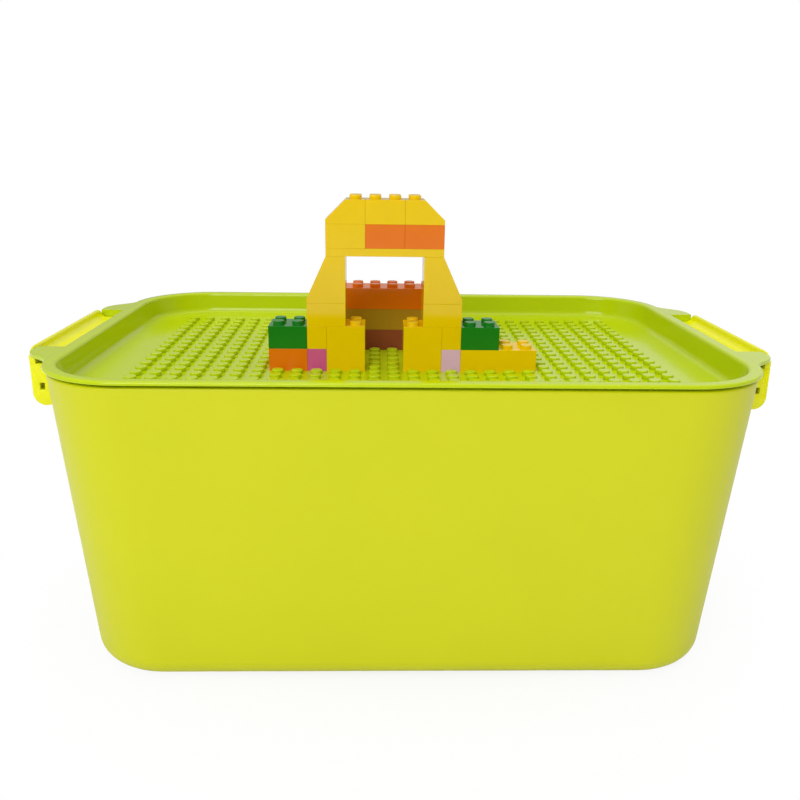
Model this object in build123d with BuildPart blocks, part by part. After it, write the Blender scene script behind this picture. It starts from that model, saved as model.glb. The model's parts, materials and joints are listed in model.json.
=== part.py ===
from build123d import *
import math
import os

# The grid of building studs that the lid and the bricks share
stud_pitch = 8.0
stud_diameter = 4.8
stud_rise = 1.7
brick_rise = 9.6
plates_in_brick = 3

# Box and lid
stud_columns = 28
stud_rows = 18
end_margin = 24.4
side_margin = 22.8
box_height = 125.0
lid_corner_radius = 36.0
rim_thickness = 2.7
rim_band = 1.4
rim_edge_land = 0.4
rim_seat_inset = 1.2
tray_depth = 12.35
tray_wall_lean = 1.4
tray_wall = 1.6
tray_floor = 2.0
tray_side_gap = 0.4
tray_foot_round = 2.5
tray_rib_height = 3.0
tray_rib_thickness = 1.6
tray_ribs_across = 5
tray_ribs_along = 3

# Tub
rim_overhang = 1.3
side_lean = 8.5
base_corner_radius = 32.0
base_round = 9.0
tub_wall = 2.0
tub_floor = 2.6
tub_edge_round = 0.8
tub_floor_round = 8.0
foot_ring_width = 6.0
foot_ring_depth = 1.0

# Latches and the wings of the lid around them
notch_half = 40.0
wing_overhang = 12.0
wing_drop = 0.5
wing_land = 7.1
wing_length = 26.6
wing_thickness = 1.5
wing_edge_round = 0.6
boss_height = 4.4
boss_thickness = 2.0
boss_round = 1.6
latch_side_gap = 0.4
latch_under_wing = 9.0
latch_axis_overhang = 6.4
latch_axis_drop = 17.7
latch_barrel_radius = 5.0
latch_wall = 2.2
latch_lip_gap = 0.55
latch_curl_angle = 105.0
latch_web = 2.2
latch_web_inset = 2.2
latch_under_gap = 0.6
bar_overhang = 1.6
bar_floor = 1.6
bar_wall = 2.0
bar_lip_width = 1.6
bar_lip_rise = 2.0
bar_end_round = 3.5
bar_edge_round = 0.6
window_width = 1.9
window_height = 2.8
window_rise = 2.9
window_wall = 0.9
trunnion_radius = 1.3
trunnion_clearance = 0.06
trunnion_end_gap = 0.3
lug_thickness = 3.8
lug_gap = 0.4
lug_root_rise = 7.0
lug_root_depth = 0.9

# Bricks
brick_gap = 0.1
stud_gap = 0.1
stud_headroom = 0.3
tube_wall = 0.7
slope_lip = 1.8

# One overrun serves every cut that leaves a face
cut_over = 1.0

# Sizes that follow from those above
lid_width = stud_columns * stud_pitch + 2 * end_margin
lid_depth = stud_rows * stud_pitch + 2 * side_margin
body_height = box_height - rim_thickness
rim_width = rim_overhang + tub_wall + tray_side_gap + tray_wall
rim_round = min(rim_band - rim_edge_land, (rim_width - rim_edge_land) / 2)
tray_level = box_height - tray_depth
wing_out = lid_width / 2 + wing_overhang
wing_tip = notch_half + wing_land
wing_root = notch_half + wing_length
wing_top = box_height - wing_drop
boss_bottom = wing_top - boss_height
latch_axis_out = lid_width / 2 + latch_axis_overhang
latch_axis_height = box_height - latch_axis_drop
latch_out = latch_axis_out + latch_barrel_radius
latch_half_length = notch_half + latch_under_wing
skirt_top = boss_bottom - latch_under_gap
lug_radius = latch_barrel_radius - latch_wall - lug_gap
plate_rise = brick_rise / plates_in_brick
post_radius = (stud_pitch - stud_diameter) / 2 - stud_gap
brick_wall = post_radius - brick_gap
brick_roof = plate_rise - stud_rise - stud_headroom
tube_radius = stud_pitch / math.sqrt(2) - stud_diameter / 2 - stud_gap


# A block between two rounded rectangles, one below the other
def tapered_block(low_height, low_size, low_radius, high_height, high_size, high_radius):
    with BuildPart() as block:
        with BuildSketch(Plane.XY.offset(low_height)):
            RectangleRounded(low_size[0], low_size[1], low_radius)
        with BuildSketch(Plane.XY.offset(high_height)):
            RectangleRounded(high_size[0], high_size[1], high_radius)
        loft()
    return block.part


# The tub's outline at a height, set in from its outer face
def tub_size(height, inset):
    lean = rim_overhang + side_lean * (1 - height / body_height) + inset
    return (lid_width - 2 * lean, lid_depth - 2 * lean)


def tub_radius(height, inset):
    top_radius = lid_corner_radius - rim_overhang
    return base_corner_radius + (top_radius - base_corner_radius) * height / body_height - inset


# The lid's outline, set in from its outer edge
def lid_size(inset):
    return (lid_width - 2 * inset, lid_depth - 2 * inset)


# A drawing plane across one end of the box, at a place along its side. Its first axis points
# outwards and its second one up, so that one profile serves both ends.
def end_plane(side, along):
    return Plane(origin=(0, along, 0), x_dir=(side, 0, 0), z_dir=(0, -side, 0))


# A bar with a rectangular section at one end of the box, centred on a place along its side
def end_bar(side, along, half_length, out, height):
    with BuildPart() as bar:
        with BuildSketch(end_plane(side, along)):
            with Locations(((out[0] + out[1]) / 2, (height[0] + height[1]) / 2)):
                Rectangle(out[1] - out[0], height[1] - height[0])
        extrude(amount=half_length, both=True)
    return bar.part


# A round bar on the latch's axis
def axis_bar(side, along, half_length, radius):
    with BuildPart() as bar:
        with BuildSketch(end_plane(side, along)):
            with Locations((latch_axis_out, latch_axis_height)):
                Circle(radius)
        extrude(amount=half_length, both=True)
    return bar.part


# Places along the side of the lug and of the latch's web, on the half of the side where end is +1
web_centre = latch_half_length - latch_web / 2
lug_centre = latch_half_length - latch_web - lug_gap - lug_thickness / 2


# A hinge lug: a nose round the latch's axis, flat below, rising to its root on the tub's wall
def hinge_lug(side, end):
    wall_out = tub_size(latch_axis_height, lug_root_depth)[0] / 2
    with BuildPart() as lug:
        with BuildSketch(end_plane(side, end * lug_centre)):
            with Locations((latch_axis_out, latch_axis_height)):
                Circle(lug_radius)
            with BuildLine():
                Polyline(
                    (wall_out, latch_axis_height - lug_radius),
                    (latch_axis_out, latch_axis_height - lug_radius),
                    (latch_axis_out, latch_axis_height + lug_radius),
                    (wall_out, latch_axis_height + lug_root_rise),
                    close=True,
                )
            make_face()
            with Locations((latch_axis_out, latch_axis_height)):
                Circle(trunnion_radius + trunnion_clearance, mode=Mode.SUBTRACT)
        extrude(amount=lug_thickness / 2, both=True)
    return lug.part


os.makedirs("parts", exist_ok=True)

# Tub
with BuildPart() as cavity:
    add(
        tapered_block(
            tub_floor,
            tub_size(tub_floor, tub_wall),
            tub_radius(tub_floor, tub_wall),
            body_height + cut_over,
            tub_size(body_height + cut_over, tub_wall),
            tub_radius(body_height + cut_over, tub_wall),
        )
    )
    fillet(cavity.edges().group_by(Axis.Z)[0], tub_floor_round)

foot_inset = base_round + foot_ring_width
with BuildPart() as tub:
    add(
        tapered_block(
            0,
            tub_size(0, 0),
            tub_radius(0, 0),
            body_height,
            tub_size(body_height, 0),
            tub_radius(body_height, 0),
        )
    )
    fillet(tub.edges().group_by(Axis.Z)[0], base_round)
    fillet(tub.edges().group_by(Axis.Z)[-1], tub_edge_round)
    add(cavity.part, mode=Mode.SUBTRACT)
    with BuildSketch():
        RectangleRounded(*tub_size(0, foot_inset), tub_radius(0, foot_inset))
    extrude(amount=foot_ring_depth, mode=Mode.SUBTRACT)
    for side in (-1, 1):
        for end in (-1, 1):
            add(hinge_lug(side, end))
tub.part.label = "box_tub"
export_step(tub.part, "parts/box_tub.step")

# Lid: the hollow of its tray, then the moulding around it
tray_foot_inset = rim_width + tray_wall_lean
with BuildPart() as tray_hollow:
    add(
        tapered_block(
            tray_level,
            lid_size(tray_foot_inset),
            lid_corner_radius - tray_foot_inset,
            box_height,
            lid_size(rim_width),
            lid_corner_radius - rim_width,
        )
    )
    fillet(tray_hollow.edges().group_by(Axis.Z)[0], tray_foot_round)

tray_underside = tray_level - tray_floor
plug_inset = rim_width - tray_wall + tray_wall_lean * rim_thickness / tray_depth
plug_low_inset = tray_foot_inset - tray_wall


# The rim rests on the tub a little way in from its outer face, so that a groove runs all round
rim_seat = rim_overhang + rim_seat_inset
rib_span = lid_size(plug_low_inset + tray_foot_round)
with BuildPart() as lid:
    with BuildSketch(Plane.XY.offset(body_height)):
        RectangleRounded(*lid_size(rim_seat), lid_corner_radius - rim_seat)
    extrude(amount=rim_thickness - rim_band)
    with BuildSketch(Plane.XY.offset(box_height - rim_band)):
        RectangleRounded(lid_width, lid_depth, lid_corner_radius)
    extrude(amount=rim_band)
    fillet(lid.edges().group_by(Axis.Z)[-1], rim_round)
    add(
        tapered_block(
            tray_underside,
            lid_size(plug_low_inset),
            lid_corner_radius - plug_low_inset,
            body_height,
            lid_size(plug_inset),
            lid_corner_radius - plug_inset,
        )
    )
    add(tray_hollow.part, mode=Mode.SUBTRACT)
    fillet(lid.edges().group_by(Axis.Z)[-1], rim_round)
    with BuildSketch(Plane.XY.offset(tray_underside)):
        with GridLocations(rib_span[0] / tray_ribs_across, 0, tray_ribs_across, 1):
            Rectangle(tray_rib_thickness, rib_span[1])
        with GridLocations(0, rib_span[1] / tray_ribs_along, 1, tray_ribs_along):
            Rectangle(rib_span[0], tray_rib_thickness)
    extrude(amount=-tray_rib_height)
    with BuildSketch(Plane.XY.offset(tray_level)):
        with GridLocations(stud_pitch, stud_pitch, stud_columns, stud_rows):
            Circle(stud_diameter / 2)
    extrude(amount=stud_rise)
lid.part.label = "lid"
export_step(lid.part, "parts/lid.step")


# The outline of one wing of the lid, from the notch to where it runs out along the rim
def wing(side, end):
    root_out = lid_width / 2 - rim_round
    with BuildPart() as piece:
        with BuildSketch(Plane.XY.offset(wing_top - wing_thickness)):
            with BuildLine():
                Polyline(
                    (side * root_out, end * wing_root),
                    (side * root_out, end * notch_half),
                    (side * wing_out, end * notch_half),
                    (side * wing_out, end * wing_tip),
                )
                Bezier(
                    (side * wing_out, end * wing_tip),
                    (side * wing_out, end * (wing_tip + wing_root) / 2),
                    (side * lid_width / 2, end * (wing_tip + wing_root) / 2),
                    (side * root_out, end * wing_root),
                )
            make_face()
        extrude(amount=wing_thickness)
        fillet(piece.faces().sort_by(Axis.Z)[-1].outer_wire().edges(), wing_edge_round)
    return piece.part


# The thick end of a wing beside the latch, which reaches lower than the wing
def wing_boss(side, end):
    half_thickness = boss_thickness / 2
    boss_in = lid_width / 2 + latch_lip_gap / 2
    boss_low_out = wing_out - wing_edge_round
    with BuildPart() as piece:
        with BuildSketch(end_plane(side, end * (notch_half + half_thickness))):
            with BuildLine():
                Polyline(
                    (boss_in, boss_bottom),
                    (boss_low_out, boss_bottom),
                    (boss_low_out, wing_top - wing_edge_round),
                    (boss_in, wing_top - wing_edge_round),
                    close=True,
                )
            make_face()
        extrude(amount=half_thickness, both=True)
        low_edges = piece.edges().filter_by(Axis.Y).group_by(Axis.Z)[0]
        fillet(low_edges.sort_by(lambda edge: abs(edge.center().X))[-1], boss_round)
    return piece.part


# The wings are cut to the rim that they grow out of
for side, side_name in ((-1, "left"), (1, "right")):
    for end, end_name in ((-1, "front"), (1, "back")):
        with BuildPart() as lid_wing:
            add(wing(side, end))
            add(wing_boss(side, end))
            add(lid.part, mode=Mode.SUBTRACT)
        lid_wing.part.label = f"wing_{end_name}_{side_name}"
        export_step(lid_wing.part, f"parts/{lid_wing.part.label}.step")


# Latch: the skirt outside the box, the curl round the axis, and a web at each end
def latch(side):
    skirt_in = latch_out - latch_wall
    curl_half = lug_centre - lug_thickness / 2 - lug_gap
    web_in = latch_axis_out - latch_web_inset
    window_out = skirt_in - window_wall
    window_low = latch_axis_height + window_rise - window_height / 2
    with BuildPart() as piece:
        skirt_height = (latch_axis_height, skirt_top)
        add(end_bar(side, 0, latch_half_length, (skirt_in, latch_out), skirt_height))
        with BuildSketch(end_plane(side, 0)):
            with BuildLine():
                centre = (latch_axis_out, latch_axis_height)
                inner_radius = latch_barrel_radius - latch_wall
                outer = CenterArc(centre, latch_barrel_radius, 0, -latch_curl_angle)
                inner = CenterArc(centre, inner_radius, 0, -latch_curl_angle)
                Line(outer @ 0, inner @ 0)
                Line(outer @ 1, inner @ 1)
            make_face()
        extrude(amount=curl_half, both=True)
        for end in (-1, 1):
            web = end * web_centre
            add(axis_bar(side, web, latch_web / 2, latch_barrel_radius))
            add(end_bar(side, web, latch_web / 2, (web_in, latch_out), skirt_height))
            window_span = (window_out - window_width, window_out)
            window_span_up = (window_low, window_low + window_height)
            through = latch_web / 2 + cut_over
            window = end_bar(side, web, through, window_span, window_span_up)
            add(window, mode=Mode.SUBTRACT)
            reach = (lug_thickness + lug_gap) / 2
            trunnion = end * (lug_centre + (lug_gap + trunnion_end_gap) / 2)
            add(axis_bar(side, trunnion, reach, trunnion_radius))
    return piece.part


# The top bar of a latch fills the notch between two wings and stands on the skirt. It is a channel
# with a low lip beside the lid's rim and a high wall with rounded ends along its outside.
def latch_bar(side):
    half_length = notch_half - latch_side_gap
    bar_in = lid_width / 2 + latch_lip_gap
    bar_out = latch_out + bar_overhang
    floor_top = skirt_top + bar_floor
    wall_rise = box_height - skirt_top
    wall_plane = Plane(
        origin=(side * (bar_out - bar_wall), 0, skirt_top + wall_rise / 2),
        x_dir=(0, side, 0),
        z_dir=(side, 0, 0),
    )
    with BuildPart() as wall:
        with BuildSketch(wall_plane) as outline:
            Rectangle(2 * half_length, wall_rise)
            fillet(outline.vertices().group_by(Axis.Y)[-1], bar_end_round)
        extrude(amount=bar_wall)
        top_edges = wall.edges().filter_by(Axis.X, reverse=True).group_by(Axis.Z)[-1]
        fillet(top_edges, bar_edge_round)
    with BuildPart() as lip:
        lip_span = (bar_in, bar_in + bar_lip_width)
        add(end_bar(side, 0, half_length, lip_span, (skirt_top, floor_top + bar_lip_rise)))
        top_edges = lip.edges().filter_by(Axis.Y).group_by(Axis.Z)[-1]
        fillet(top_edges, bar_edge_round)
    with BuildPart() as piece:
        add(end_bar(side, 0, half_length, (bar_in, bar_out), (skirt_top, floor_top)))
        add(wall.part)
        add(lip.part)
    return piece.part


for side, name in ((-1, "latch_left"), (1, "latch_right")):
    for latch_part, label in ((latch(side), name), (latch_bar(side), f"{name}_bar")):
        latch_part.label = label
        export_step(latch_part, f"parts/{label}.step")


# The plane of a brick's underside, centred on it. Columns and rows count from the lid's front left
# stud, and levels are plates above the tray.
def brick_plane(column, row, level, columns, rows):
    centre_x = (column + (columns - stud_columns) / 2) * stud_pitch
    centre_y = (row + (rows - stud_rows) / 2) * stud_pitch
    return Plane(origin=(centre_x, centre_y, tray_level + level * plate_rise))


# Tubes between four studs, or posts between two, hold the studs of what lies below
def tube_group(base, columns, rows, height):
    with BuildPart() as tubes:
        with BuildSketch(base):
            if min(columns, rows) > 1:
                with GridLocations(stud_pitch, stud_pitch, columns - 1, rows - 1):
                    Circle(tube_radius)
                    Circle(tube_radius - tube_wall, mode=Mode.SUBTRACT)
            else:
                with GridLocations(stud_pitch, stud_pitch, max(columns - 1, 1), max(rows - 1, 1)):
                    Circle(post_radius)
        extrude(amount=height)
    return tubes.part


def straight_brick(base, columns, rows, rise):
    width = columns * stud_pitch - 2 * brick_gap
    depth = rows * stud_pitch - 2 * brick_gap
    with BuildPart() as piece:
        with BuildSketch(base):
            Rectangle(width, depth)
        extrude(amount=rise)
        with BuildSketch(base):
            Rectangle(width - 2 * brick_wall, depth - 2 * brick_wall)
        extrude(amount=rise - brick_roof, mode=Mode.SUBTRACT)
        add(tube_group(base, columns, rows, rise - brick_roof))
        with BuildSketch(base.offset(rise)):
            with GridLocations(stud_pitch, stud_pitch, columns, rows):
                Circle(stud_diameter / 2)
        extrude(amount=stud_rise)
    return piece.part


# A slope's block, set in by an inset: level at its back, falling to a low lip on its own side
def slope_block(profile, half_width, crest, rise, half_depth, inset):
    with BuildPart() as block:
        with BuildSketch(profile):
            with BuildLine():
                Polyline(
                    (-half_width, 0),
                    (half_width, 0),
                    (half_width, slope_lip),
                    (crest, rise),
                    (-half_width, rise),
                    close=True,
                )
            make_face()
            if inset > 0:
                offset(amount=-inset, kind=Kind.INTERSECTION, mode=Mode.REPLACE)
        extrude(amount=half_depth - inset, both=True)
    return block.part


# A slope keeps one column of studs at its back
def slope_brick(base, columns, rows, rise, side):
    half_width = columns * stud_pitch / 2 - brick_gap
    half_depth = rows * stud_pitch / 2 - brick_gap
    crest = half_width - stud_pitch * (columns - 1)
    profile = Plane(origin=base.origin, x_dir=(side, 0, 0), z_dir=(0, -side, 0))
    shell = slope_block(profile, half_width, crest, rise, half_depth, 0)
    with BuildPart() as tubes:
        add(tube_group(base, columns, rows, rise))
        add(shell, mode=Mode.INTERSECT)
    with BuildPart() as piece:
        add(shell)
        hollow = slope_block(profile, half_width, crest, rise, half_depth, brick_wall)
        add(hollow, mode=Mode.SUBTRACT)
        with BuildSketch(base):
            Rectangle(2 * (half_width - brick_wall), 2 * (half_depth - brick_wall))
        extrude(amount=stud_rise + stud_gap, mode=Mode.SUBTRACT)
        add(tubes.part)
        studs = Plane(origin=base.origin + (side * -stud_pitch * (columns - 1) / 2, 0, rise))
        with BuildSketch(studs):
            with GridLocations(stud_pitch, stud_pitch, 1, rows):
                Circle(stud_diameter / 2)
        extrude(amount=stud_rise)
    return piece.part


# Bricks: name, first column, first row, level, columns, rows and height, the last ones in plates
straight_bricks = (
    ("base_orange", 7, 5, 0, 2, 2, 3),
    ("base_magenta", 9, 5, 0, 1, 2, 3),
    ("pillar_left", 10, 5, 0, 2, 2, 6),
    ("pillar_right", 14, 5, 0, 2, 2, 6),
    ("base_pink", 16, 5, 0, 1, 2, 3),
    ("base_yellow", 17, 5, 0, 4, 2, 3),
    ("upper_green_left", 7, 5, 3, 2, 2, 3),
    ("upper_yellow_left", 9, 5, 3, 1, 2, 3),
    ("upper_yellow_right", 16, 5, 3, 1, 2, 3),
    ("upper_green_right", 17, 5, 3, 2, 2, 3),
    ("shoulder_left", 9, 5, 6, 2, 2, 3),
    ("shoulder_right", 15, 5, 6, 2, 2, 3),
    ("lintel_plate", 10, 5, 15, 6, 2, 1),
    ("crest_yellow", 10, 5, 16, 2, 2, 3),
    ("crest_orange_middle", 12, 5, 16, 2, 2, 3),
    ("crest_orange_right", 14, 5, 16, 2, 2, 3),
    ("roof_yellow", 12, 5, 19, 2, 2, 3),
    ("back_wall_low", 9, 10, 0, 8, 2, 3),
    ("back_wall_middle", 9, 10, 3, 8, 2, 3),
    ("back_wall_top", 9, 10, 6, 8, 2, 3),
)
# Slopes have the same columns, and then the side that they fall to
slope_bricks = (
    ("steep_slope_left", 9, 5, 9, 2, 2, 6, -1),
    ("steep_slope_right", 15, 5, 9, 2, 2, 6, 1),
    ("roof_slope_left", 10, 5, 19, 2, 2, 3, -1),
    ("roof_slope_right", 14, 5, 19, 2, 2, 3, 1),
)

for name, column, row, level, columns, rows, plates in straight_bricks:
    base = brick_plane(column, row, level, columns, rows)
    brick_part = straight_brick(base, columns, rows, plates * plate_rise)
    brick_part.label = name
    export_step(brick_part, f"parts/{name}.step")

for name, column, row, level, columns, rows, plates, side in slope_bricks:
    base = brick_plane(column, row, level, columns, rows)
    brick_part = slope_brick(base, columns, rows, plates * plate_rise, side)
    brick_part.label = name
    export_step(brick_part, f"parts/{name}.step")
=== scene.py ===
import bmesh
import bpy
import json
from math import cos, hypot, pi, radians, sin, sqrt
from mathutils import Euler, Matrix, Vector


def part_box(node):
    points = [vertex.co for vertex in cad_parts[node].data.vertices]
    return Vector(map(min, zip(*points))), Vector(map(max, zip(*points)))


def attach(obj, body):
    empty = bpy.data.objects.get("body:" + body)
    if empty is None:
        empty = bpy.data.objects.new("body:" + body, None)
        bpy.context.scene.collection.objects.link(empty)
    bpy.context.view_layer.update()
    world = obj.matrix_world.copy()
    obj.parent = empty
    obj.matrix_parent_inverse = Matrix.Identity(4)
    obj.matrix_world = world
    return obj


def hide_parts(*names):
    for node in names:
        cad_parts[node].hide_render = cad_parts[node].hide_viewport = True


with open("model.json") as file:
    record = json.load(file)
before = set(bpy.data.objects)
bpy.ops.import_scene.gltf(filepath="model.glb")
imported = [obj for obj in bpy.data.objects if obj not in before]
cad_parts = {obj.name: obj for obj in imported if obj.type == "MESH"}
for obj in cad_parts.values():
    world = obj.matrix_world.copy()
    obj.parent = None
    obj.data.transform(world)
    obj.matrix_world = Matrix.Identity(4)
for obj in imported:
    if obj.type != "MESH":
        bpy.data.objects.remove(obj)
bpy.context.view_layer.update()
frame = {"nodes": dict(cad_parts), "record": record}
mm = 0.001

# The grid that the lid's studs and the bricks share
grid = {
    "pitch": 8 * mm, "studRadius": 2.4 * mm, "studRise": 1.7 * mm, "studFoot": -0.4 * mm,
    "studRound": 0.3 * mm, "studRoundSteps": 2,
}

# How a screen turns a colour's number into light
screenCurve = {"highest": 255, "knee": 0.04045, "slope": 12.92, "offset": 0.055, "power": 2.4}


def srgb(red, green, blue):
    # a colour as a paint program shows it, from 0 to 255, made linear
    curve = screenCurve
    linear = []
    for share in (red / curve["highest"], green / curve["highest"], blue / curve["highest"]):
        if share <= curve["knee"]:
            linear.append(share / curve["slope"])
        else:
            linear.append(((share + curve["offset"]) / (1 + curve["offset"])) ** curve["power"])
    return (*linear, 1.0)


class Value:
    # a node's output that can stand in a sum
    def __init__(self, graph, socket):
        self.graph = graph
        self.socket = socket

    def __add__(self, other):
        return self.graph.math("ADD", self, other)

    def __radd__(self, other):
        return self.graph.math("ADD", other, self)

    def __sub__(self, other):
        return self.graph.math("SUBTRACT", self, other)

    def __rsub__(self, other):
        return self.graph.math("SUBTRACT", other, self)

    def __mul__(self, other):
        return self.graph.math("MULTIPLY", self, other)

    def __rmul__(self, other):
        return self.graph.math("MULTIPLY", other, self)

    def __truediv__(self, other):
        return self.graph.math("DIVIDE", self, other)

    def __rtruediv__(self, other):
        return self.graph.math("DIVIDE", other, self)


colourMix = {"factor": 0, "first": 6, "second": 7, "result": 2}  # the Mix node's sockets for colours


class Graph:
    # a node tree of a material, of the world or of geometry nodes
    def __init__(self, tree):
        self.tree = tree

    def node(self, kind, settings=None, sockets=None, out=0):
        # a new node: first its settings, then a value, a link or a list of links for each socket
        made = self.tree.nodes.new(kind)
        for name, value in (settings or {}).items():
            setattr(made, name, value)
        for key, given in (sockets or {}).items():
            for value in given if isinstance(given, list) else [given]:
                if isinstance(value, Value):
                    self.tree.links.new(value.socket, made.inputs[key])
                else:
                    made.inputs[key].default_value = value
        return Value(self, made.outputs[out]) if made.outputs else made

    def math(self, operation, first, second=0.0, clamp=False):
        settings = {"operation": operation, "use_clamp": clamp}
        return self.node("ShaderNodeMath", settings, {0: first, 1: second})

    def aboveZero(self, value):
        return self.math("MAXIMUM", value, 0.0)

    def axis(self, vector, name):
        # one of a vector's three numbers
        return self.node("ShaderNodeSeparateXYZ", None, {0: vector}, name)

    def mix(self, factor, first, second):
        # mixes two colours
        sockets = {colourMix["factor"]: factor, colourMix["first"]: first, colourMix["second"]: second}
        return self.node("ShaderNodeMix", {"data_type": "RGBA"}, sockets, colourMix["result"])


def emptyGraph(owner):
    # the node tree of a material or of the world, with nothing in it yet
    owner.use_nodes = True
    owner.node_tree.nodes.clear()
    return Graph(owner.node_tree)


# A finish for each slot of the record, what the bricks' finishes share, and what all plastics share
finishes = {
    "tub_plastic": {
        "colour": srgb(206, 209, 6), "shade": srgb(200, 203, 2), "roughness": 0.4, "spread": 0.05,
        "mottle": 22, "grain": 700, "depth": 0.010 * mm,
    },
    "lid_plastic": {
        "colour": srgb(187, 207, 8), "shade": srgb(181, 202, 4), "roughness": 0.14, "spread": 0.03,
        "mottle": 30, "grain": 240, "depth": 0.006 * mm,
    },
    "latch_plastic": {
        "colour": srgb(236, 235, 2), "shade": srgb(231, 230, 0), "roughness": 0.2, "spread": 0.05,
        "mottle": 60, "grain": 500, "depth": 0.006 * mm,
    },
    "brick_yellow": {"colour": srgb(236, 197, 0), "shade": srgb(230, 191, 0)},
    "brick_orange": {"colour": srgb(230, 116, 10), "shade": srgb(225, 111, 6)},
    "brick_green": {"colour": srgb(20, 124, 28), "shade": srgb(16, 118, 24)},
    "brick_magenta": {"colour": srgb(208, 88, 144), "shade": srgb(202, 82, 138)},
    "brick_pink": {"colour": srgb(222, 178, 206), "shade": srgb(216, 172, 200)},
    # painted shade: brick_red and brick_ochre colour the back wall's lowest and middle bricks, darkened
    # with the shade that falls on that wall behind the front wall
    "brick_red": {"colour": srgb(150, 76, 50), "shade": srgb(142, 70, 46)},
    "brick_ochre": {"colour": srgb(180, 138, 34), "shade": srgb(174, 132, 30)},
}
brickFinish = {"roughness": 0.09, "spread": 0.03, "mottle": 90, "grain": 160, "depth": 0.004 * mm}
plastic = {
    "driftDetail": 3.0, "driftMiddle": 0.5, "skinDetail": 2.0, "skinStrength": 1.0,
    "ior": 1.46, "specular": 0.34,
}


def mouldedPlastic(slot, look):
    # moulded plastic: a faint drift of colour and gloss, and a skin that isn't quite flat
    material = bpy.data.materials.new(slot + "_finish")
    graph = emptyGraph(material)
    place = graph.node("ShaderNodeTexCoord", out="Object")
    drift = graph.node("ShaderNodeTexNoise", None, {
        "Vector": place, "Scale": look["mottle"], "Detail": plastic["driftDetail"],
    })
    skin = graph.node("ShaderNodeTexNoise", None, {
        "Vector": place, "Scale": look["grain"], "Detail": plastic["skinDetail"],
    })
    bump = graph.node("ShaderNodeBump", None, {
        "Strength": plastic["skinStrength"], "Distance": look["depth"], "Height": skin,
    })
    shader = graph.node("ShaderNodeBsdfPrincipled", None, {
        "Base Color": graph.mix(drift, look["shade"], look["colour"]),
        "Roughness": look["roughness"] + look["spread"] * (drift - plastic["driftMiddle"]),
        "Normal": bump, "IOR": plastic["ior"], "Specular IOR Level": plastic["specular"],
    })
    graph.node("ShaderNodeOutputMaterial", None, {"Surface": shader})
    return material


materials = {}
for slot, look in finishes.items():
    materials[slot] = mouldedPlastic(slot, {**brickFinish, **look})
nodeSlots = {entry["node"]: entry["material_slot"] for entry in frame["record"]["subparts"]}
for name, node in frame["nodes"].items():
    node.data.materials.clear()
    node.data.materials.append(materials[nodeSlots[name]])
print("finishes made:", len(materials))


def plainMesh(made):
    # bakes an object's modifiers into its mesh
    depsgraph = bpy.context.evaluated_depsgraph_get()
    mesh = bpy.data.meshes.new_from_object(made.evaluated_get(depsgraph), depsgraph=depsgraph)
    made.modifiers.clear()
    made.data = mesh


def weigh(points, weights):
    # a point of a curve, from the points that shape it and their weights
    return tuple(sum(w * point[axis] for w, point in zip(weights, points)) for axis in (0, 1))


def bend(start, corner, end, steps):
    # points of a rounded corner, from start to end
    points = []
    for step in range(steps + 1):
        t = step / steps
        points.append(weigh((start, corner, end), ((1 - t) ** 2, 2 * t * (1 - t), t ** 2)))
    return points


def rectangle(lowX, lowY, highX, highY):
    return [(lowX, lowY), (highX, lowY), (highX, highY), (lowX, highY)]


def circle(radius, height, sides):
    # points round the Z axis
    turns = [index * 2 * pi / sides for index in range(sides)]
    return [(radius * cos(turn), radius * sin(turn), height) for turn in turns]


def roundedRing(halfX, halfY, radius, cornerSteps, sideSteps):
    # a rounded rectangle seen from above, as a closed loop of points
    points = []
    for corner, (signX, signY) in enumerate(((1, 1), (-1, 1), (-1, -1), (1, -1))):
        middle = ((halfX - radius) * signX, (halfY - radius) * signY)
        for step in range(cornerSteps + 1):
            angle = (corner + step / cornerSteps) * pi / 2
            points.append((middle[0] + radius * cos(angle), middle[1] + radius * sin(angle)))
    loop = []
    for index, point in enumerate(points):
        loop.append(point)
        if index % (cornerSteps + 1) == cornerSteps:
            after = points[(index + 1) % len(points)]
            for step in range(1, sideSteps):
                share = step / sideSteps
                loop.append(tuple(a + (b - a) * share for a, b in zip(point, after)))
    return loop


def loftRings(mesh, rings, hollow=False):
    # joins loops of equal length by strips of faces, and closes the first and the last.
    # In a hollow shape, such as a tube, those two are joined as well.
    loops = [[mesh.verts.new(point) for point in ring] for ring in rings]
    following = loops[1:] + loops[:1] if hollow else loops[1:]
    for low, high in zip(loops, following):
        for index in range(len(low)):
            after = (index + 1) % len(low)
            mesh.faces.new((low[index], low[after], high[after], high[index]))
    if not hollow:
        mesh.faces.new(reversed(loops[0]))
        mesh.faces.new(loops[-1])


def lathe(mesh, profile, sides, hollow=False):
    # turns a profile of radius and height about the Z axis
    loftRings(mesh, [circle(radius, height, sides) for radius, height in profile], hollow)


def extrudeOutline(mesh, points, shift):
    # a prism: an outline and its copy, moved by a vector
    low = [mesh.verts.new(point) for point in points]
    high = [mesh.verts.new(Vector(point) + shift) for point in points]
    mesh.faces.new(low)
    mesh.faces.new(reversed(high))
    for index in range(len(low)):
        after = (index + 1) % len(low)
        mesh.faces.new((low[after], low[index], high[index], high[after]))


def finishMesh(name, mesh):
    # an object of its own from a mesh in the making
    bmesh.ops.recalc_face_normals(mesh, faces=mesh.faces)
    data = bpy.data.meshes.new(name)
    mesh.to_mesh(data)
    mesh.free()
    made = bpy.data.objects.new(name, data)
    bpy.context.scene.collection.objects.link(made)
    return made


def settle(made, slot, body, node=None):
    # a finished piece: plain mesh, its finish, the body that it moves with and the solid that it covers
    plainMesh(made)
    made.data.materials.clear()
    made.data.materials.append(materials[slot])
    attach(made, body)
    if node:
        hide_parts(node)


softening = {"segments": 2, "angle": 35}


def shadeSmooth(made):
    for face in made.data.polygons:
        face.use_smooth = True


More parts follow.
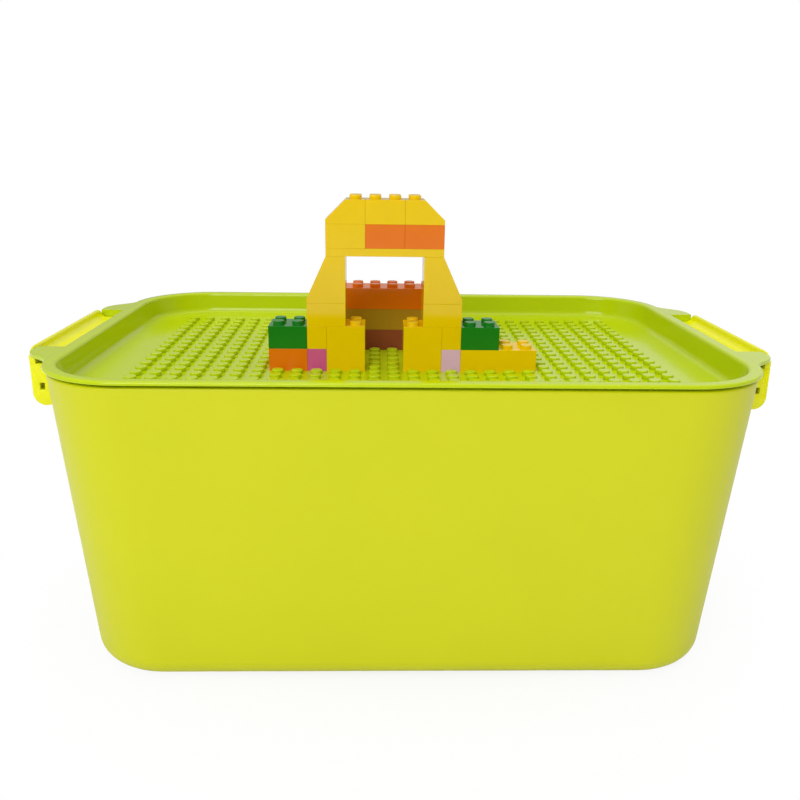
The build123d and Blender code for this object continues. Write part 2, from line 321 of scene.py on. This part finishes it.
def softEdges(made, width, segments=softening["segments"], angle=softening["angle"]):
    # rounds the edges that are sharper than an angle
    bevel = made.modifiers.new("softEdges", "BEVEL")
    bevel.width = width
    bevel.segments = segments
    bevel.limit_method = "ANGLE"
    bevel.angle_limit = radians(angle)
    bevel.harden_normals = True
    shadeSmooth(made)


# Studs and tubes are one small shape each, repeated by geometry nodes

def studShape(sides):
    mesh = bmesh.new()
    radius, rise, soft = grid["studRadius"], grid["studRise"], grid["studRound"]
    top = bend((radius, rise - soft), (radius, rise), (radius - soft, rise), grid["studRoundSteps"])
    lathe(mesh, [(radius, grid["studFoot"])] + top, sides)
    made = finishMesh(f"studShape{sides}", mesh)
    for face in made.data.polygons:
        face.use_smooth = len(face.vertices) == 4  # the side is smooth, the flat top isn't
    return made


repeatInputs = {
    "Shape": "Object", "Columns": "Int", "Rows": "Int", "Pitch": "Float", "Centre": "Vector",
    "Dish": "Float", "Dish half size": "Vector", "Flat share": "Float", "Finish": "Material",
}


def repeatTree():
    # repeats a shape on a grid of points, lifts it with the dish's floor and joins it to the piece
    tree = bpy.data.node_groups.new("repeatOnGrid", "GeometryNodeTree")
    tree.interface.new_socket("Geometry", in_out="INPUT", socket_type="NodeSocketGeometry")
    for name, kind in repeatInputs.items():
        tree.interface.new_socket(name, in_out="INPUT", socket_type="NodeSocket" + kind)
    tree.interface.new_socket("Geometry", in_out="OUTPUT", socket_type="NodeSocketGeometry")
    graph = Graph(tree)
    entry = graph.node("NodeGroupInput").socket.node
    given = {socket.name: Value(graph, socket) for socket in entry.outputs}
    columns, rows, pitch = given["Columns"], given["Rows"], given["Pitch"]
    points = graph.node("GeometryNodeMeshGrid", None, {
        "Size X": (columns - 1) * pitch, "Size Y": (rows - 1) * pitch,
        "Vertices X": columns, "Vertices Y": rows,
    })
    placed = graph.node("GeometryNodeSetPosition", None, {"Geometry": points, "Offset": given["Centre"]})
    here = graph.node("GeometryNodeInputPosition")
    halves = {0: here, 1: given["Dish half size"]}
    share = graph.node("ShaderNodeVectorMath", {"operation": "DIVIDE"}, halves)
    across, along = graph.axis(share, "X"), graph.axis(share, "Y")
    edge = 1 - (1 - across * across) * (1 - along * along)
    beyond = graph.aboveZero(edge - given["Flat share"]) / (1 - given["Flat share"])
    lift = graph.node("ShaderNodeCombineXYZ", None, {"Z": given["Dish"] * beyond})
    dished = graph.node("GeometryNodeSetPosition", None, {"Geometry": placed, "Offset": lift})
    shape = graph.node("GeometryNodeObjectInfo", None, {"Object": given["Shape"]}, "Geometry")
    copies = graph.node("GeometryNodeInstanceOnPoints", None, {"Points": dished, "Instance": shape})
    real = graph.node("GeometryNodeRealizeInstances", None, {"Geometry": copies})
    joined = graph.node("GeometryNodeJoinGeometry", None, {"Geometry": [given["Geometry"], real]})
    finished = {"Geometry": joined, "Material": given["Finish"]}
    done = graph.node("GeometryNodeSetMaterial", None, finished)
    graph.node("NodeGroupOutput", None, {0: done})
    return tree


repeatOnGrid = repeatTree()


def repeat(made, values):
    # a piece's repeats, flat unless the values give a dish. Inputs are set by their sockets' identifiers.
    modifier = made.modifiers.new("repeat", "NODES")
    modifier.node_group = repeatOnGrid
    flat = {"Pitch": grid["pitch"], "Dish": 0.0, "Dish half size": (1.0, 1.0, 1.0), "Flat share": 0.0}
    identifiers = {}
    for item in repeatOnGrid.interface.items_tree:
        if item.in_out == "INPUT":
            identifiers[item.name] = item.identifier
    for name, value in {**flat, **values}.items():
        modifier[identifiers[name]] = value


lidSizes = {
    "columns": 28, "rows": 18, "endMargin": 24.4 * mm, "sideMargin": 22.8 * mm, "corner": 36 * mm,
    "top": 125 * mm, "rimThick": 2.7 * mm, "band": 1.4 * mm, "seat": 3.1 * mm, "rimWidth": 5.3 * mm,
    "rimRound": 1.1 * mm, "innerRound": 1.5 * mm, "lip": 0.2 * mm, "trayDepth": 12.35 * mm,
    "wallLean": 1.4 * mm, "wallThick": 1.6 * mm, "floorThick": 2 * mm, "footRound": 3 * mm,
    "dish": 1.7 * mm, "flatShare": 0.12, "studSides": 16,
    "ribHeight": 3 * mm, "ribThick": 1.6 * mm, "ribRound": 0.3 * mm, "ribsAcross": 5, "ribsAlong": 3,
    "cornerSteps": 18, "sideSteps": 14, "floorRings": 14, "roundSteps": 6, "lipSteps": 3, "plugSteps": 2,
}
halfX = lidSizes["columns"] * grid["pitch"] / 2 + lidSizes["endMargin"]
halfY = lidSizes["rows"] * grid["pitch"] / 2 + lidSizes["sideMargin"]
trayLevel = lidSizes["top"] - lidSizes["trayDepth"]
trayUnderside = trayLevel - lidSizes["floorThick"]
rimBottom = lidSizes["top"] - lidSizes["rimThick"]
trayInset = lidSizes["rimWidth"] + lidSizes["wallLean"]


def dishRise(x, y):
    # the tray's floor is flat in its middle and rises towards its walls
    edge = 1 - (1 - (x / (halfX - trayInset)) ** 2) * (1 - (y / (halfY - trayInset)) ** 2)
    beyond = max(edge - lidSizes["flatShare"], 0) / (1 - lidSizes["flatShare"])
    return lidSizes["dish"] * min(beyond, 1)


def lidRing(inset, height, share=1, dished=False):
    # a loop inside the rim's outline, shrunk to a share of its size
    s = lidSizes
    size = (halfX - inset) * share, (halfY - inset) * share, (s["corner"] - inset) * share
    ring = roundedRing(*size, s["cornerSteps"], s["sideSteps"])
    return [(x, y, height + (dishRise(x, y) if dished else 0)) for x, y in ring]


def floorRings(inset, height, dished):
    # rings that shrink from the tray's edge to its middle
    steps = lidSizes["floorRings"]
    return [lidRing(inset, height, 1 - step / steps, dished) for step in range(steps)]


def wallInset(height):
    # the tray's inner wall leans inwards as it goes down
    share = (lidSizes["top"] - height) / lidSizes["trayDepth"]
    return lidSizes["rimWidth"] + lidSizes["wallLean"] * share


def lidSection():
    # how far in from the rim, and how high: up the tray's wall, over the rim and down to the underside
    s = lidSizes
    top, steps = s["top"], s["roundSteps"]
    edgeLevel = trayLevel + s["dish"]
    foot, footTop = wallInset(edgeLevel), edgeLevel + s["footRound"]
    floorEdge = (foot + s["footRound"], edgeLevel)
    points = bend(floorEdge, (foot, edgeLevel), (wallInset(footTop), footTop), steps)[1:]
    wallTop, crown = top - s["innerRound"], s["rimWidth"] - s["innerRound"]
    points += bend((wallInset(wallTop), wallTop), (s["rimWidth"], top), (crown, top), steps)
    points += bend((s["rimRound"], top), (0, top), (0, top - s["rimRound"]), steps)
    bandLow = top - s["band"]
    points += bend((0, bandLow + s["lip"]), (0, bandLow), (s["lip"], bandLow), s["lipSteps"])
    points += [(s["seat"], bandLow), (s["seat"], rimBottom)]
    points.append((wallInset(rimBottom) - s["wallThick"], rimBottom))
    plug = trayInset - s["wallThick"]
    plugStart, plugEnd = (plug, trayUnderside + s["lip"]), (plug + s["lip"], trayUnderside)
    return points + bend(plugStart, (plug, trayUnderside), plugEnd, s["plugSteps"])


def lidShell(mesh):
    # the tray's floor from its middle outwards, the walls and rim, and the underside back to the middle
    floorEdge = wallInset(trayLevel + lidSizes["dish"]) + lidSizes["footRound"]
    rings = list(reversed(floorRings(floorEdge, trayLevel, True)))
    rings += [lidRing(inset, height) for inset, height in lidSection()]
    undersideEdge = trayInset - lidSizes["wallThick"] + lidSizes["footRound"]
    rings += floorRings(undersideEdge, trayUnderside, False)
    loftRings(mesh, rings)


def spread(count, span):
    # places spread evenly about the middle of a span
    return [(index - (count - 1) / 2) * span / count for index in range(count)]


def lidRibs(mesh):
    # ribs under the tray's floor, across it and along it
    s = lidSizes
    spanX = 2 * (halfX - trayInset - s["footRound"])
    spanY = 2 * (halfY - trayInset - s["footRound"])
    bars = [(x, 0, s["ribThick"], spanY) for x in spread(s["ribsAcross"], spanX)]
    bars += [(0, y, spanX, s["ribThick"]) for y in spread(s["ribsAlong"], spanY)]
    for x, y, width, depth in bars:
        corners = rectangle(x - width / 2, y - depth / 2, x + width / 2, y + depth / 2)
        points = [(a, b, trayUnderside - s["ribHeight"]) for a, b in corners]
        extrudeOutline(mesh, points, Vector((0, 0, s["ribHeight"] + s["floorThick"] / 2)))


def makeLid():
    s = lidSizes
    mesh = bmesh.new()
    lidShell(mesh)
    shell = finishMesh("lidShell", mesh)
    shadeSmooth(shell)
    mesh = bmesh.new()
    lidRibs(mesh)
    ribs = finishMesh("lidRibs", mesh)
    softEdges(ribs, s["ribRound"])
    stud = studShape(s["studSides"])
    repeat(shell, {
        "Shape": stud, "Columns": s["columns"], "Rows": s["rows"], "Centre": (0, 0, trayLevel),
        "Dish": s["dish"], "Dish half size": (halfX - trayInset, halfY - trayInset, 1.0),
        "Flat share": s["flatShare"], "Finish": materials["lid_plastic"],
    })
    settle(shell, "lid_plastic", "lid_body", "lid")
    settle(ribs, "lid_plastic", "lid_body")
    bpy.data.objects.remove(stud)
    print("lid made:", len(shell.data.polygons), "faces")


wingSizes = {
    "notch": 40 * mm, "land": 5.4 * mm, "length": 26.6 * mm, "out": 11.3 * mm, "drop": 0.5 * mm,
    "thick": 1.5 * mm, "corner": 0.9 * mm, "cornerSteps": 5, "curveSteps": 14,
    "round": 0.5 * mm, "roundSegments": 3,
    "bossHeight": 4.4 * mm, "bossThick": 2.0 * mm, "bossRound": 2.0 * mm, "bossInset": 0.1 * mm,
    "bossSetback": 0.02 * mm,
}


def wingPlate(mesh, side, end):
    # a flat wing beside the latch, which runs back to the rim in a long curve
    w = wingSizes
    out, root, near = halfX + w["out"], halfX - lidSizes["rimRound"], w["notch"]
    tip, far = near + w["land"], near + w["length"]
    middle = (tip + far) / 2
    outline = [(root, far), (root, near)]
    outline += bend((out - w["corner"], near), (out, near), (out, near + w["corner"]), w["cornerSteps"])
    knots = ((out, tip), (out, middle), (halfX, middle), (root, far))
    for step in range(w["curveSteps"]):
        t = step / w["curveSteps"]
        weights = ((1 - t) ** 3, 3 * t * (1 - t) ** 2, 3 * t ** 2 * (1 - t), t ** 3)
        outline.append(weigh(knots, weights))
    low = lidSizes["top"] - w["drop"] - w["thick"]
    points = [(side * x, end * y, low) for x, y in outline]
    extrudeOutline(mesh, points, Vector((0, 0, w["thick"])))


def wingBoss(mesh, side, end):
    # the wing's thick, round-nosed end at the notch
    w = wingSizes
    top = lidSizes["top"] - w["drop"] - w["bossInset"]
    low = lidSizes["top"] - w["drop"] - w["bossHeight"]
    inner, outer = halfX + w["bossInset"], halfX + w["out"] - w["bossInset"]
    soft, steps = w["bossRound"], w["cornerSteps"]
    outline = [(inner, low)] + bend((outer - soft, low), (outer, low), (outer, low + soft), steps)
    outline += bend((outer, top - soft), (outer, top), (outer - soft, top), steps) + [(inner, top)]
    near = end * (w["notch"] + w["bossSetback"])
    points = [(side * x, near, z) for x, z in outline]
    extrudeOutline(mesh, points, Vector((0, end * w["bossThick"], 0)))


def makeWing(side, end, node):
    mesh = bmesh.new()
    wingPlate(mesh, side, end)
    wingBoss(mesh, side, end)
    wing = finishMesh(node + "Shape", mesh)
    softEdges(wing, wingSizes["round"], wingSizes["roundSegments"])
    settle(wing, "lid_plastic", "lid_body", node)


makeLid()
sideSigns = {"left": -1, "right": 1}
endSigns = {"front": -1, "back": 1}
for sideName, side in sideSigns.items():
    for endName, end in endSigns.items():
        makeWing(side, end, f"wing_{endName}_{sideName}")
print("wings made")


brickSizes = {
    "edge": 0.12 * mm, "seam": 0.08 * mm, "wall": 1.4 * mm, "roof": 1.2 * mm, "lip": 1.8 * mm,
    "tubeRadius": 3.157 * mm, "tubeWall": 0.7 * mm, "tubeSides": 24,
    "postRadius": 1.5 * mm, "postSides": 20, "studSides": 28,
}


def brickOutline(low, high, slopeSide, wall, roof):
    # a brick seen from the front, or its hollow. A slope falls to a lip on one side.
    bottom, top = low.z, high.z - grid["studRise"]
    left, right, ceiling = low.x + wall, high.x - wall, top - roof
    floor = [(left, bottom), (right, bottom)]
    if not slopeSide:
        return floor + [(right, ceiling), (left, ceiling)]
    edge = high.x if slopeSide > 0 else low.x
    fall = (top - bottom - brickSizes["lip"]) / grid["pitch"]
    drop = wall * hypot(1, fall)
    crest = (edge + slopeSide * ((roof - drop) / fall - grid["pitch"]), ceiling)
    lip = (edge - slopeSide * wall, bottom + brickSizes["lip"] + wall * fall - drop)
    return floor + ([lip, crest, (left, ceiling)] if slopeSide > 0 else [(right, ceiling), crest, lip])


def brickShell(name, low, high, slopeSide):
    # an upside-down cup with even walls: an outer and an inner shell, open below and joined at their rims
    mesh = bmesh.new()
    shells, rims = [], []
    for inset, roof in ((0, 0), (brickSizes["wall"], brickSizes["roof"])):
        points = brickOutline(low, high, slopeSide, inset, roof)
        front, back = [
            [mesh.verts.new((x, y, z)) for x, z in points] for y in (low.y + inset, high.y - inset)
        ]
        shells.append((front, back))
        rims.append([front[0], front[1], back[1], back[0]])
    for (front, back), flip in zip(shells, (False, True)):
        faces = [front, list(reversed(back))]
        for index in range(1, len(front)):
            after = (index + 1) % len(front)
            faces.append([front[after], front[index], back[index], back[after]])
        for face in faces:
            mesh.faces.new(list(reversed(face)) if flip else face)
    outer, inner = rims
    for index in range(len(outer)):
        after = (index + 1) % len(outer)
        mesh.faces.new((outer[after], outer[index], inner[index], inner[after]))
    return finishMesh(name, mesh)


def tubeShape(height, narrow):
    # what grips the studs below: a post in a brick one stud wide, a tube in the others
    b = brickSizes
    mesh = bmesh.new()
    if narrow:
        lathe(mesh, [(b["postRadius"], 0), (b["postRadius"], height)], b["postSides"])
    else:
        outer, inner = b["tubeRadius"], b["tubeRadius"] - b["tubeWall"]
        profile = [(outer, 0), (outer, height), (inner, height), (inner, 0)]
        lathe(mesh, profile, b["tubeSides"], hollow=True)
    return finishMesh("tubeShape", mesh)


def makeBrick(name, stud):
    low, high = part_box(name)
    slope = "slope" in name
    slopeSide = (1 if name.endswith("right") else -1) if slope else 0
    columns = round((high.x - low.x) / grid["pitch"])
    rows = round((high.y - low.y) / grid["pitch"])
    seam = Vector((brickSizes["seam"], 0, 0))  # the bricks close up to a fine seam
    brick = brickShell(name + "Brick", low - seam, high + seam, slopeSide)
    softEdges(brick, brickSizes["edge"])
    centre = (low + high) / 2
    top = high.z - grid["studRise"]
    studX = centre.x - slopeSide * grid["pitch"] * (columns - 1) / 2
    slot = nodeSlots[name]
    repeat(brick, {
        "Shape": stud, "Columns": 1 if slope else columns, "Rows": rows, "Centre": (studX, centre.y, top),
        "Finish": materials[slot],
    })
    if slope:
        settle(brick, slot, "brick_model", name)
        return
    tube = tubeShape(top - low.z - brickSizes["roof"] / 2, narrow=min(columns, rows) == 1)
    repeat(brick, {
        "Shape": tube, "Columns": max(columns - 1, 1), "Rows": max(rows - 1, 1),
        "Centre": (centre.x, centre.y, low.z), "Finish": materials[slot],
    })
    settle(brick, slot, "brick_model", name)
    bpy.data.objects.remove(tube)


brickNodes = frame["record"]["behaviour"]["bodies"]["brick_model"]
studOnBrick = studShape(brickSizes["studSides"])
for name in brickNodes:
    makeBrick(name, studOnBrick)
bpy.data.objects.remove(studOnBrick)
print("bricks made:", len(brickNodes))


skirtSizes = {"edge": 0.28 * mm, "edgeAngle": 40, "merge": 0.002 * mm, "flatAngle": 1.0}


def latchSkirt(node, body):
    # the latch's own solid, with its loose triangles joined and its edges softened
    s = skirtSizes
    mesh = bmesh.new()
    mesh.from_mesh(frame["nodes"][node].data)
    bmesh.ops.remove_doubles(mesh, verts=mesh.verts, dist=s["merge"])
    flat = radians(s["flatAngle"])
    bmesh.ops.dissolve_limit(mesh, angle_limit=flat, verts=mesh.verts, edges=mesh.edges)
    piece = finishMesh(node + "Cover", mesh)
    softEdges(piece, s["edge"], angle=s["edgeAngle"])
    settle(piece, "latch_plastic", body, node)


barSizes = {
    "inner": 136.95 * mm, "outer": 149.4 * mm, "low": 119.5 * mm, "floor": 121.1 * mm, "lip": 123.1 * mm,
    "top": 125 * mm, "half": 39.6 * mm, "lipWidth": 1.5 * mm, "wallWidth": 1.9 * mm, "hollow": 3.2 * mm,
    "lipRound": 0.6 * mm, "lipLean": 0.2 * mm, "lipFall": 0.7 * mm, "lipSteps": 3,
    "footLean": 0.3 * mm, "footRise": 0.9 * mm, "footCorner": 0.6 * mm, "footSteps": 5,
    "wallCorner": 0.3 * mm, "wallLean": 0.1 * mm, "wallFall": 1 * mm, "wallSteps": 7,
    "crestInner": 0.7 * mm, "crestInnerSteps": 3, "crestOuter": 0.9 * mm, "crestOuterSteps": 4,
    "endRound": 3.5 * mm, "endSteps": 6, "edge": 0.12 * mm, "edgeAngle": 50,
}


def barProfile():
    # the section of the top bar: a low lip, a hollow channel and a high outer wall
    s = barSizes
    inner, outer, floor, lip, top = s["inner"], s["outer"], s["floor"], s["lip"], s["top"]
    lipEnd, wallStart = inner + s["lipWidth"], outer - s["wallWidth"]
    lipMiddle, wallMiddle = inner + s["lipWidth"] / 2, outer - s["wallWidth"] / 2
    points = [(inner, s["low"])]
    points += bend((inner, lip - s["lipRound"]), (inner, lip), (lipMiddle, lip), s["lipSteps"])
    lipFoot = (lipEnd + s["lipLean"], lip - s["lipFall"])
    points += bend((lipMiddle, lip), (lipEnd, lip), lipFoot, s["lipSteps"])[1:]
    foot = (lipEnd + s["footLean"], floor + s["footRise"])
    footCorner = (lipEnd + s["footCorner"], floor)
    points += bend(foot, footCorner, (lipEnd + s["hollow"], floor), s["footSteps"])
    wallCorner = (wallStart - s["wallCorner"], floor)
    wallHead = (wallStart - s["wallLean"], top - s["wallFall"])
    points += bend((wallStart - s["hollow"], floor), wallCorner, wallHead, s["wallSteps"])
    crestInner, crestOuter = (wallStart, top - s["crestInner"]), (outer, top - s["crestOuter"])
    points += bend(crestInner, (wallStart, top), (wallMiddle, top), s["crestInnerSteps"])
    points += bend((wallMiddle, top), (outer, top), crestOuter, s["crestOuterSteps"])[1:]
    return points + [(outer, s["low"])]


def latchBar(side, node, body):
    # the section swept along the notch, its high parts rounded off at the back end
    s = barSizes
    half, soft = s["half"], s["endRound"]
    places = [-half]
    for step in reversed(range(s["endSteps"] + 1)):
        places.append(half - soft * (1 - cos(step / s["endSteps"] * pi / 2)))
    profile = barProfile()
    rings = []
    for along in places:
        inside = min(half - along, soft)
        limit = s["top"] - soft + sqrt(soft ** 2 - (soft - inside) ** 2)
        rings.append([(side * x, along, min(z, max(limit, s["floor"]))) for x, z in profile])
    mesh = bmesh.new()
    loftRings(mesh, rings)
    piece = finishMesh(node + "Channel", mesh)
    softEdges(piece, s["edge"], angle=s["edgeAngle"])
    settle(piece, "latch_plastic", body, node)


ridgeSizes = {
    "inner": 147.95 * mm, "outer": 148.4 * mm, "low": 119.6 * mm, "top": 124.9 * mm,
    "level": 42 * mm, "end": 47.5 * mm, "fall": 4.5 * mm, "steps": 8, "roundParts": 3,
}
earSizes = {
    "outer": 147.8 * mm, "inner": 145.4 * mm, "low": 119.3 * mm, "top": 122.7 * mm,
    "near": 43.2 * mm, "far": 49 * mm, "edge": 0.28 * mm,
}


def ridgeEnd(mesh, side):
    # at the front the bar's outer wall runs on outside the wing's tip, and falls away there
    s = ridgeSizes
    inner, low = s["inner"], s["low"]
    start, startOut = barSizes["half"], barSizes["outer"]
    rings = []
    for step in range(s["steps"] + 1):
        share = step / s["steps"]
        along = start + (s["end"] - start) * share
        out = startOut + (s["outer"] - startOut) * share
        top = s["top"] - max(along - s["level"], 0) ** 2 / (2 * s["fall"])
        soft = (out - inner) / s["roundParts"]
        points = [
            (inner, low), (inner, top - soft), (inner + soft, top),
            (out - soft, top), (out, top - soft), (out, low),
        ]
        rings.append([(side * x, -along, z) for x, z in points])
    loftRings(mesh, rings)


def latchEars(side, name, body):
    # the skirt's outer corners, which reach up to the wings
    s = earSizes
    mesh = bmesh.new()
    ridgeEnd(mesh, side)
    for end in endSigns.values():
        corners = rectangle(s["inner"], s["near"], s["outer"], s["far"])
        points = [(side * x, end * y, s["low"]) for x, y in corners]
        extrudeOutline(mesh, points, Vector((0, 0, s["top"] - s["low"])))
    ears = finishMesh(name + "Ears", mesh)
    softEdges(ears, s["edge"])
    settle(ears, "latch_plastic", body)


for sideName, side in sideSigns.items():
    latchSkirt(f"latch_{sideName}", f"{sideName}_latch")
    latchBar(side, f"latch_{sideName}_bar", f"{sideName}_latch")
    latchEars(side, sideName, f"{sideName}_latch")
print("latches made")


studio = {
    "floorSize": 8.0, "floorGrey": 0.88, "shadowShare": 0.3, "shadowReach": 0.2, "paperGlow": 1.0,
    "walls": 0.32, "overhead": 0.32, "zenith": 1.7, "zenithPower": 9.0, "frontShade": 0.24,
    "sheen": 0.55, "sheenWay": (0.56, 0.72, 0.4), "sheenPower": 7.0,
    "key": 14.4, "keySize": 0.9, "keyPlace": (-0.5, -1.25, 1.0), "keyAim": (0, 0, 0.08),
}
white = (1.0, 1.0, 1.0, 1.0)


def makeFloor():
    # white paper: the camera sees it lit evenly, with a share of the true shading left for the shadow
    bpy.ops.mesh.primitive_plane_add(size=studio["floorSize"])
    floor = bpy.context.object
    floor.name = "floor"
    material = bpy.data.materials.new("floorPaper")
    graph = emptyGraph(material)
    seen = graph.node("ShaderNodeLightPath", out="Is Camera Ray")
    grey = (studio["floorGrey"],) * 3 + (1.0,)
    paper = graph.node("ShaderNodeBsdfDiffuse", None, {"Color": grey})
    glow = graph.node("ShaderNodeEmission", None, {"Color": white, "Strength": studio["paperGlow"]})
    place = graph.node("ShaderNodeTexCoord", out="Object")
    away = graph.node("ShaderNodeVectorMath", {"operation": "LENGTH"}, {0: place}, "Value")
    near = graph.math("SUBTRACT", 1.0, away / studio["shadowReach"], clamp=True)
    share = (1 - studio["shadowShare"] * near) * seen
    even = graph.node("ShaderNodeMixShader", None, {0: share, 1: paper, 2: glow})
    graph.node("ShaderNodeOutputMaterial", None, {"Surface": even})
    floor.data.materials.append(material)


def makeWorld():
    # a white room with a lamp overhead and a bright panel far right, darker near the camera.
    # The camera itself sees plain white.
    world = bpy.data.worlds.new("studioWhite")
    bpy.context.scene.world = world
    graph = emptyGraph(world)
    seen = graph.node("ShaderNodeLightPath", out="Is Camera Ray")
    toward = graph.node("ShaderNodeTexCoord", out="Generated")
    rise = graph.aboveZero(graph.axis(toward, "Z"))
    fore = graph.aboveZero(0.0 - graph.axis(toward, "Y"))
    ways = {0: toward, 1: studio["sheenWay"]}
    facing = graph.node("ShaderNodeVectorMath", {"operation": "DOT_PRODUCT"}, ways, "Value")
    sheen = studio["sheen"] * graph.math("POWER", graph.aboveZero(facing), studio["sheenPower"])
    lamp = studio["zenith"] * graph.math("POWER", rise, studio["zenithPower"])
    room = studio["walls"] + studio["overhead"] * rise + lamp - studio["frontShade"] * fore + sheen
    strength = room + (1 - room) * seen
    light = graph.node("ShaderNodeBackground", None, {"Color": white, "Strength": strength})
    graph.node("ShaderNodeOutputWorld", None, {"Surface": light})


def makeKey():
    # a large soft lamp at the front left, aimed at the box
    lamp = bpy.data.lights.new("softbox", "AREA")
    lamp.energy = studio["key"]
    lamp.size = studio["keySize"]
    softbox = bpy.data.objects.new("softbox", lamp)
    softbox.location = studio["keyPlace"]
    aim = Vector(studio["keyAim"]) - softbox.location
    softbox.rotation_euler = aim.to_track_quat("-Z", "Y").to_euler()
    bpy.context.scene.collection.objects.link(softbox)


eye = {
    "place": (-0.0108, -0.3692, 0.2016), "yaw": 1.65, "pitch": 16.71, "roll": -0.82,
    "lens": 37.29, "sensor": 36, "nearest": 0.01,
}


def makeCamera():
    data = bpy.data.cameras.new("camera")
    data.lens = eye["lens"]
    data.sensor_width = eye["sensor"]
    data.clip_start = eye["nearest"]
    camera = bpy.data.objects.new("camera", data)
    turn = Euler((radians(90 - eye["pitch"]), 0, radians(-eye["yaw"]))).to_matrix()
    turn = turn @ Matrix.Rotation(radians(-eye["roll"]), 3, "Z")
    camera.matrix_world = Matrix.Translation(eye["place"]) @ turn.to_4x4()
    bpy.context.scene.collection.objects.link(camera)
    bpy.context.scene.camera = camera


makeFloor()
makeWorld()
makeKey()
makeCamera()
bpy.context.scene.view_settings.view_transform = "Standard"
print("studio made")

bpy.context.view_layer.update()
